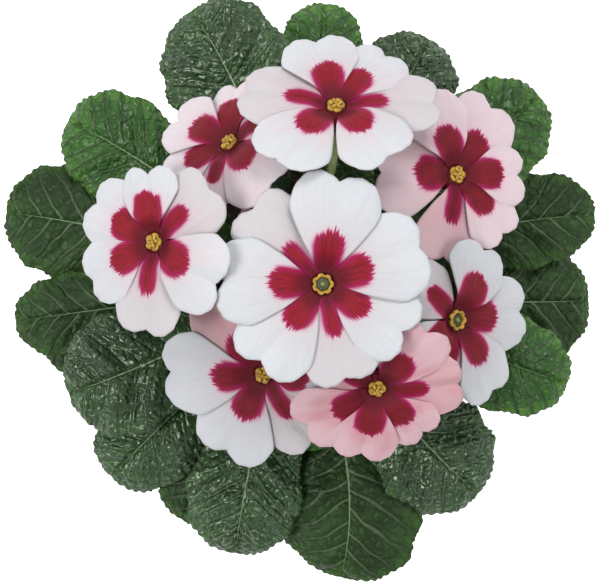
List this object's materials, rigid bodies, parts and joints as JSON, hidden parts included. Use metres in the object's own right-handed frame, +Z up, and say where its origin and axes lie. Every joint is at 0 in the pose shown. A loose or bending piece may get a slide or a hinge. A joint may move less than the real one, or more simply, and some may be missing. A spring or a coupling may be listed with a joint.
{
  "type": "potted primrose",
  "caption": "Potted primrose: white and pink blooms with crimson stars and yellow eyes over a rosette of puckered dark green leaves in a plain pot.",
  "frame": {"origin": "centre of the pot's flat underside, where it rests", "axes": "+Z up out of the pot, through the flowers; +X and +Y level"},
  "size_m": [0.1733, 0.1701, 0.1587],
  "materials": {
    "pot_plastic": "satin",
    "peat": "matte",
    "crown_green": "matte",
    "leaf_dark": "satin",
    "leaf_mid": "satin",
    "petal_white": "matte",
    "petal_blush": "matte",
    "petal_pink": "matte",
    "bud_rose": "matte",
    "eye_gold": "matte",
    "stalk_green": "satin"
  },
  "bodies": {
    "root": {"pot": "pot_plastic", "soil": "peat", "crown": "crown_green", "leaf_01": "leaf_dark", "leaf_02": "leaf_mid", "leaf_03": "leaf_dark", "leaf_04": "leaf_mid", "leaf_05": "leaf_dark", "leaf_06": "leaf_dark", "leaf_07": "leaf_mid", "leaf_08": "leaf_dark", "leaf_09": "leaf_dark", "leaf_10": "leaf_dark", "leaf_11": "leaf_dark", "leaf_12": "leaf_dark", "leaf_13": "leaf_dark", "leaf_14": "leaf_dark", "leaf_15": "leaf_dark", "leaf_16": "leaf_dark", "leaf_17": "leaf_mid", "young_leaf_1": "leaf_mid", "young_leaf_2": "leaf_mid", "young_leaf_3": "leaf_mid", "bloom_1_petals": "petal_white", "bloom_1_eye": "eye_gold", "bloom_1_stalk": "stalk_green", "bloom_2_petals": "petal_white", "bloom_2_eye": "eye_gold", "bloom_2_stalk": "stalk_green", "bloom_3_petals": "petal_blush", "bloom_3_eye": "eye_gold", "bloom_3_stalk": "stalk_green", "bloom_4_petals": "petal_white", "bloom_4_eye": "eye_gold", "bloom_4_stalk": "stalk_green", "bloom_5_petals": "petal_blush", "bloom_5_eye": "eye_gold", "bloom_5_stalk": "stalk_green", "bloom_6_petals": "petal_white", "bloom_6_eye": "eye_gold", "bloom_6_stalk": "stalk_green", "bloom_7_petals": "petal_white", "bloom_7_eye": "eye_gold", "bloom_7_stalk": "stalk_green", "bloom_8_petals": "petal_pink", "bloom_8_eye": "eye_gold", "bloom_8_stalk": "stalk_green", "bud_1_petals": "bud_rose", "bud_1_stalk": "stalk_green", "bud_2_petals": "bud_rose", "bud_2_stalk": "stalk_green"}
  },
  "joints": []
}
